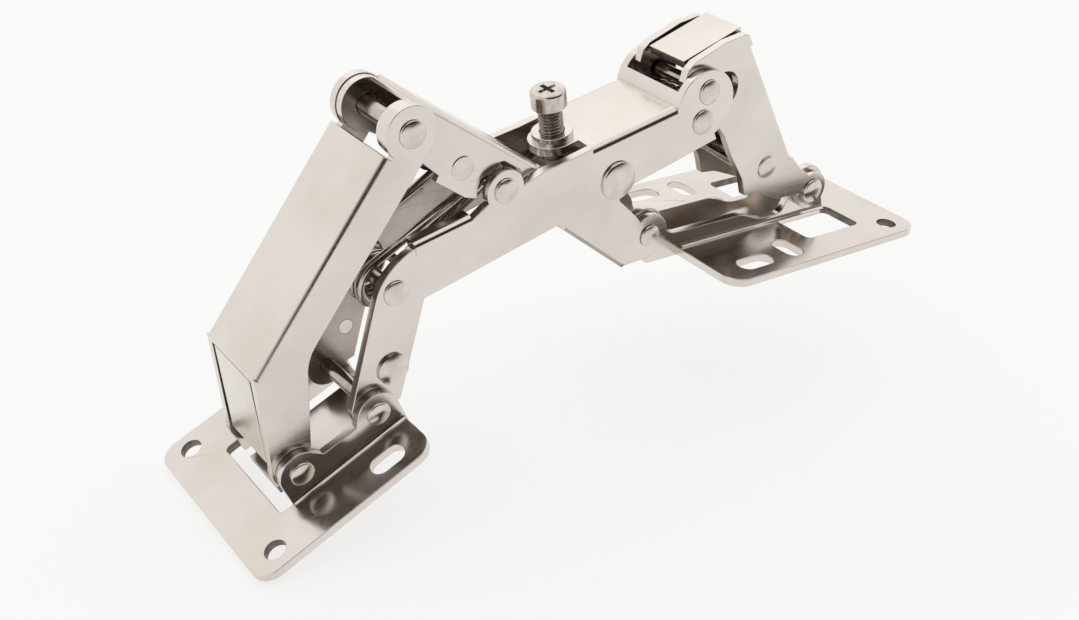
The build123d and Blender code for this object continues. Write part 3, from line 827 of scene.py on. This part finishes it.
@dataclass
class CrossScrew:
    """The adjusting screw: a round head with a cross recess over a threaded shank.

    Attributes:
        node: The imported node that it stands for.
        body: The body that carries it.
        shank_mm: The thread's outer radius.
        root_mm: How deep the thread is cut.
        pitch_mm: The rise of one turn.
        pitch_rows: The rows of facets in that rise.
        flank: How steep the thread's sides are.
        runout: The length over which the thread fades at both ends, in pitches.
        head_mm: The head's radius.
        head_rise_mm: The head's height.
        soft_mm: The radius of the head's rounded top edge.
        soft_steps: The facets in that edge.
        bevel_mm: The size of the bevel under the head.
        recess_mm: The reach of the cross recess from the axis.
        recess_deep_mm: The recess's depth.
        arm_mm: Half of the width of a recess arm.
        taper: The shares of an arm's half width and reach that are left at the recess's bottom.
        clear_mm: How far the cutter stands out above the head.
        facets: The facets round the screw.
    """

    node: str = "adjusting_screw"
    body: Body = Body.SCREW
    shank_mm: float = 2.4
    root_mm: float = 0.36
    pitch_mm: float = 0.7
    pitch_rows: int = 10
    flank: float = 2.6
    runout: float = 0.6
    head_mm: float = 3.5
    head_rise_mm: float = 3.8
    soft_mm: float = 0.7
    soft_steps: int = 6
    bevel_mm: float = 0.3
    recess_mm: float = 2.1
    recess_deep_mm: float = 1.8
    arm_mm: float = 0.5
    taper: Pair = (0.75, 0.45)
    clear_mm: float = 0.2
    facets: int = 48

    def axis(self) -> tuple[Vector, Vector]:
        """Finds the screw's tip and its reach from the joint that turns it.

        Returns:
            The middle of the tip face, and the vector from there to the top of the head.
        """
        joint = next(j for j in frame["joints"] if j["child"] == self.body.value)
        along = Vector(joint["axis"]).normalized()
        if along.z < 0:
            along = -along
        on_axis = Vector(joint["pos_m"])
        spots = [(vert.co - on_axis).dot(along) for vert in frame["nodes"][self.node].data.vertices]
        return on_axis + along * min(spots), along * (max(spots) - min(spots))

    def thread(self, length: float) -> bmesh.types.BMesh:
        """Winds the threaded shank, upright from the origin.

        Args:
            length: The shank's length, in metres.

        Returns:
            The shank's mesh.
        """
        work = bmesh.new()
        pitch = self.pitch_mm * MM
        outer = self.shank_mm * MM
        depth = self.root_mm * MM
        rows = round(length / pitch * self.pitch_rows)
        rings = []
        for row in range(rows + 1):
            height = length * row / rows
            ends = min(min(height, length - height) / (self.runout * pitch), 1.0)
            ring = []
            for step in range(self.facets):
                turn = step / self.facets
                phase = (height / pitch - turn) % 1.0
                cut = 1.0 - min(abs(phase - 0.5) * self.flank, 1.0)
                radius = outer - depth * (cut if ends >= 1.0 else 1.0 - (1.0 - cut) * ends)
                angle = math.tau * turn
                ring.append(work.verts.new((radius * math.cos(angle), radius * math.sin(angle), height)))
            rings.append(ring)
        skin_rings(work, rings)
        return work

    def head(self) -> bmesh.types.BMesh:
        """Turns the head, upright from the origin, with a plain side and a softly rounded top.

        Returns:
            The head's mesh.
        """
        head, rise = self.head_mm * MM, self.head_rise_mm * MM
        soft, bevel = self.soft_mm * MM, self.bevel_mm * MM
        outline = [(0.0, 0.0), (head - bevel, 0.0), (head, bevel), (head, rise - soft)]
        for step in range(1, self.soft_steps + 1):
            turn = math.pi / 2 * step / self.soft_steps
            outline.append((head - soft + soft * math.cos(turn), rise - soft + soft * math.sin(turn)))
        outline.append((0.0, rise))
        return turned([outline], self.facets)

    def recess(self) -> bpy.types.Object:
        """Makes the tapered cross that is cut out of the head.

        Returns:
            The cutter, which isn't a piece.
        """
        work = bmesh.new()
        bottom = (self.head_rise_mm - self.recess_deep_mm) * MM
        top = (self.head_rise_mm + self.clear_mm) * MM
        arm, reach = self.arm_mm * MM, self.recess_mm * MM
        for crosswise in (False, True):
            rings = []
            for height, half, far in ((bottom, arm * self.taper[0], reach * self.taper[1]),
                                      (top, arm, reach)):
                spots = ((-far, -half), (far, -half), (far, half), (-far, half))
                rings.append([work.verts.new((y, x, height) if crosswise else (x, y, height))
                              for x, y in spots])
            skin_rings(work, rings)
        bmesh.ops.recalc_face_normals(work, faces=work.faces)
        return link_object("recess", into_mesh(work, "recess"))

    def cut_head(self) -> bpy.types.Mesh:
        """Cuts the cross out of the head.

        Returns:
            The cut head's mesh, upright from the origin.
        """
        blank = link_object("screw_head_blank", into_mesh(self.head(), "screw_head"))
        cutter = self.recess()
        cut = blank.modifiers.new("cross", "BOOLEAN")
        cut.operation = "DIFFERENCE"
        cut.solver = "EXACT"
        cut.use_self = True
        cut.object = cutter
        bpy.context.view_layer.update()
        view = bpy.context.evaluated_depsgraph_get()
        mesh = bpy.data.meshes.new_from_object(blank.evaluated_get(view))
        bpy.data.objects.remove(blank)
        bpy.data.objects.remove(cutter)
        return mesh

    def build(self) -> bpy.types.Object:
        """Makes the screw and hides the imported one.

        Returns:
            The new piece.
        """
        tip, along = self.axis()
        turn = along.normalized().to_track_quat("Z", "Y").to_matrix().to_4x4()
        shank_length = along.length - self.head_rise_mm * MM
        head = self.cut_head()
        head.transform(Matrix.Translation((0, 0, shank_length)))
        work = self.thread(shank_length)
        shank_faces = len(work.faces)
        work.from_mesh(head)
        mesh = into_mesh(work, self.node + "_cut")
        mesh.transform(Matrix.Translation(tip) @ turn)
        piece = place_piece(mesh, self.node + "_cut", self.body, SCREW_STEEL)
        mesh.materials.append(THREAD_STEEL.material())
        for face in mesh.polygons:
            face.material_index = int(face.index < shank_faces)
        shade_by_angle(piece, SCREW_SHARP_DEG)
        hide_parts(self.node)
        return piece


@dataclass
class CarriedPart:
    """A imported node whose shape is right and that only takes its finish.

    Attributes:
        node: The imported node.
        finish: Its finish.
    """

    node: str
    finish: Finish

    def build(self) -> bpy.types.Object:
        """Gives the node its finish.

        Returns:
            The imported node's object.
        """
        piece = frame["nodes"][self.node]
        piece.data.materials.clear()
        piece.data.materials.append(self.finish.material())
        LOG.info("%s: carried over", self.node)
        return piece


@dataclass
class HeldSpring:
    """A wound spring that swings with the body whose tie or pin its two legs hold.

    Attributes:
        node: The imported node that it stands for.
        body: The body that its legs hold.
    """

    node: str
    body: Body

    def build(self) -> bpy.types.Object:
        """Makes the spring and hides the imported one.

        Returns:
            The new piece.
        """
        work = bmesh.new()
        work.from_mesh(frame["nodes"][self.node].data)
        bmesh.ops.remove_doubles(work, verts=work.verts, dist=WELD_GAP)
        name = self.node + "_wound"
        piece = place_piece(into_mesh(work, name), name, self.body, SPRING_STEEL)
        shade_by_angle(piece, ROUND_SHARP_DEG)
        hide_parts(self.node)
        return piece


def fade_toward(tree: bpy.types.NodeTree, place: bpy.types.NodeSocket, axis: Vector,
                span: Pair, ends: Pair) -> bpy.types.NodeSocket:
    """Adds nodes that say how near a direction of the sky is to an axis.

    Args:
        tree: The sky's node tree.
        place: The socket with the direction.
        axis: The axis.
        span: The cosines between which the value changes.
        ends: The values at these cosines.

    Returns:
        The socket with the value.
    """
    toward = add_node(tree, "ShaderNodeVectorMath", {1: axis}, operation="DOT_PRODUCT")
    tree.links.new(place, toward.inputs[0])
    fade = add_node(tree, "ShaderNodeMapRange", {
        "From Min": span[0], "From Max": span[1], "To Min": ends[0], "To Max": ends[1]},
        interpolation_type="SMOOTHSTEP")
    tree.links.new(toward.outputs["Value"], fade.inputs["Value"])
    return fade.outputs["Result"]


@dataclass
class Studio:
    """The camera, the table, the sky and the soft lamp.

    Attributes:
        eye_mm: Where the camera stands.
        right: The camera's right-hand direction.
        up: The camera's upward direction.
        nearest_m: The nearest distance that the camera sees.
        floor_half_m: Half of the table's width.
        floor_colour: The table's matt colour.
        floor_rough: The table's roughness.
        floor_shown: The share of plain white in what the camera and reflections see of it.
        sky_level: The strength of the sky.
        sky_colour: Its colour.
        dim_side: The direction of the dim side of the sky.
        dim_from: How near to that direction it starts to dim, as a cosine.
        dim_full: How near to it it is fully dim, as a cosine.
        dim_colour: Its colour there.
        roof_axis: The direction of the light roof above the dim side.
        roof_low: How near to that direction the light starts, as a cosine.
        roof_high: How near to it the light is full, as a cosine.
        lamp_m: Where the lamp hangs.
        lamp_size_m: Its width.
        lamp_power: Its power, in watts.
    """

    eye_mm: Triple = (-214.4, -189.0, 128.8)
    right: Triple = (0.8005, -0.5941, 0.0791)
    up: Triple = (0.2371, 0.4352, 0.8685)
    nearest_m: float = 0.01
    floor_half_m: float = 3.0
    floor_colour: Triple = (0.96, 0.96, 0.96)
    floor_rough: float = 0.9
    floor_shown: float = 0.74
    sky_level: float = 1.0
    sky_colour: Triple = (1.0, 0.99, 0.98)
    dim_side: Triple = (0.05, -0.86, 0.51)
    dim_from: float = 0.42
    dim_full: float = 0.80
    dim_colour: Triple = (0.035, 0.024, 0.018)
    roof_axis: Triple = (0.243, 0.0, 0.970)
    roof_low: float = 0.70
    roof_high: float = 0.78
    lamp_m: Triple = (0.15, 0.55, 0.75)
    lamp_size_m: float = 0.9
    lamp_power: float = 0.5

    def camera(self) -> bpy.types.Object:
        """Places the camera at the photograph's viewing angle.

        Returns:
            The camera object.
        """
        lens = bpy.data.cameras.new("view")
        lens.sensor_width = SENSOR_W
        lens.sensor_fit = "HORIZONTAL"
        lens.lens = FOCAL_PX / IMAGE_W * SENSOR_W
        lens.clip_start = self.nearest_m
        camera = link_object("view", lens)
        right = Vector(self.right).normalized()
        up = Vector(self.up)
        up = (up - right * up.dot(right)).normalized()
        turn = Matrix((right, up, right.cross(up))).transposed().to_4x4()
        camera.matrix_world = Matrix.Translation(Vector(self.eye_mm) * MM) @ turn
        bpy.context.scene.camera = camera
        return camera

    def table_top(self) -> bpy.types.Material:
        """Makes a matt pale material that also shows at a steady level to the camera and in reflections.

        Returns:
            The material.
        """
        made = bpy.data.materials.new("table_top")
        made.use_nodes = True
        tree = made.node_tree
        link = tree.links.new
        matt = tree.nodes["Principled BSDF"]
        matt.inputs["Base Color"].default_value = (*self.floor_colour, 1.0)
        matt.inputs["Roughness"].default_value = self.floor_rough
        matt.inputs["Specular IOR Level"].default_value = 0.0
        glow = add_node(tree, "ShaderNodeEmission", {"Color": WHITE, "Strength": 1.0})
        rays = add_node(tree, "ShaderNodeLightPath")
        seen = add_node(tree, "ShaderNodeMath", operation="MAXIMUM")
        link(rays.outputs["Is Camera Ray"], seen.inputs[0])
        link(rays.outputs["Is Glossy Ray"], seen.inputs[1])
        share = add_node(tree, "ShaderNodeMath", {1: self.floor_shown}, operation="MULTIPLY")
        link(seen.outputs["Value"], share.inputs[0])
        mix = add_node(tree, "ShaderNodeMixShader")
        link(share.outputs["Value"], mix.inputs["Fac"])
        link(matt.outputs["BSDF"], mix.inputs[1])
        link(glow.outputs["Emission"], mix.inputs[2])
        link(mix.outputs["Shader"], tree.nodes["Material Output"].inputs["Surface"])
        return made

    def floor(self) -> bpy.types.Object:
        """Lays the table at the lowest point of the hinge.

        Returns:
            The table object.
        """
        low = CAD_BOX[0].z
        half = self.floor_half_m
        mesh = bpy.data.meshes.new("table")
        mesh.from_pydata([(-half, -half, low), (half, -half, low), (half, half, low), (-half, half, low)], [],
                         [(0, 1, 2, 3)])
        mesh.materials.append(self.table_top())
        table = link_object("table", mesh)
        return table

    def lamp(self) -> bpy.types.Object:
        """Hangs a soft square lamp that faces the hinge.

        Returns:
            The lamp object.
        """
        light = bpy.data.lights.new("key_lamp", "AREA")
        light.size = self.lamp_size_m
        light.energy = self.lamp_power
        lamp = link_object("key_lamp", light)
        place = Vector(self.lamp_m)
        aim = ((CAD_BOX[0] + CAD_BOX[1]) / 2 - place).normalized()
        lamp.matrix_world = Matrix.Translation(place) @ aim.to_track_quat("-Z", "Y").to_matrix().to_4x4()
        return lamp

    def sky(self) -> None:
        """Sets the sky: near white all round, and dim on one side, which the camera itself doesn't see."""
        world = bpy.data.worlds.new("sky")
        bpy.context.scene.world = world
        world.use_nodes = True
        tree = world.node_tree
        link = tree.links.new
        shade = tree.nodes["Background"]
        shade.inputs["Strength"].default_value = self.sky_level
        place = add_node(tree, "ShaderNodeTexCoord").outputs["Generated"]
        both = add_node(tree, "ShaderNodeMath", operation="MULTIPLY")
        link(fade_toward(tree, place, Vector(self.dim_side).normalized(), (self.dim_from, self.dim_full),
                         (0.0, 1.0)), both.inputs[0])
        link(fade_toward(tree, place, Vector(self.roof_axis), (self.roof_low, self.roof_high),
                         (1.0, 0.0)), both.inputs[1])
        rays = add_node(tree, "ShaderNodeLightPath")
        hidden = add_node(tree, "ShaderNodeMath", operation="SUBTRACT", use_clamp=True)
        link(both.outputs["Value"], hidden.inputs[0])
        link(rays.outputs["Is Camera Ray"], hidden.inputs[1])
        mix = add_node(tree, "ShaderNodeMix", data_type="RGBA")
        mix.inputs["A"].default_value = (*self.sky_colour, 1.0)
        mix.inputs["B"].default_value = (*self.dim_colour, 1.0)
        link(hidden.outputs["Value"], mix.inputs["Factor"])
        link(mix.outputs["Result"], shade.inputs["Color"])

    def build(self) -> None:
        """Sets up the whole studio."""
        bpy.context.scene.view_settings.view_transform = "Standard"
        self.camera()
        self.floor()
        self.sky()
        self.lamp()


SHEETS = (PunchedPlate("cabinet_plate", Body.CABINET, 0.18, holes_mm=((23.0, -19.2), (23.0, 19.2)),
                       windows_mm=((0.5, 17.0, 5.8, 16.3),)),
          PunchedPlate("door_plate", Body.DOOR, foot_mm=(-119.585, -23.635), tilt_deg=25.98,
                       holes_mm=((-12.0, -17.8), (-12.0, 17.8)), windows_mm=((-7.2, 18.8, 0.0, 11.5),)),
          StampedSheet("outer_arm", Body.OUTER, split=400),
          StampedSheet("bridge", Body.BRIDGE),
          StampedSheet("inner_arm", Body.INNER),
          StampedSheet("link", Body.LINK, 0.12, split=14))
FOLDS = (FootBend("cabinet_plate_bends", Body.CABINET, (-28.0, SHEET_T), (15.6, SHEET_T), ear_mm=5.8),
         FootBend("door_plate_bends", Body.DOOR, (-123.36, -25.475), (-100.35, -14.26), ear_mm=11.5),
         FoldedLips("bridge_lips", Body.BRIDGE, (-98.0, 19.6), (-86.0, 22.4)))
PINS = (Pin("top_pivot", Body.OUTER, 1.9, 2.6, 0.8),
        Pin("inner_tie", Body.INNER, 1.5, 2.35, 0.3),
        Pin("main_pivot", Body.BRIDGE, 2.2, 4.0, 1.2),
        Pin("anchor_pin", Body.BRIDGE, 1.5, 2.5, 0.8),
        Pin("door_coil_pin", Body.BRIDGE, 1.5, 2.5, 0.8),
        Pin("link_coil_pin", Body.BRIDGE, 1.5, 2.6, 0.8),
        Pin("bridge_link_pivot", Body.BRIDGE, 1.5, 2.6, 0.8),
        Pin("link_tie", Body.LINK, 1.5, 2.6, 0.6),
        Pin("cabinet_inner_pivot", Body.CABINET, 1.5, 2.4, 0.8),
        Pin("cabinet_link_pivot", Body.CABINET, 1.5, 2.8, 0.8),
        Pin("door_bridge_pivot", Body.DOOR, 1.5, 2.4, 0.8),
        RivetPair("door_rivets", Body.DOOR, 1.5, 2.4, 0.8),
        StopButtons(),
        CarriedPart("outer_arm_pin", PIN_STEEL))
SPRINGS = (HeldSpring("link_spring_near", Body.LINK),
           HeldSpring("link_spring_far", Body.LINK),
           HeldSpring("door_spring_near", Body.BRIDGE),
           HeldSpring("door_spring_far", Body.BRIDGE))


def main() -> None:
    """Builds every piece of the hinge and the studio, and notes the sizes."""
    logging.basicConfig(level=logging.INFO)
    for part in (*SHEETS, *FOLDS, *PINS, *SPRINGS, CrossScrew()):
        part.build()
    Studio().build()


if __name__ == "__main__":
    main()
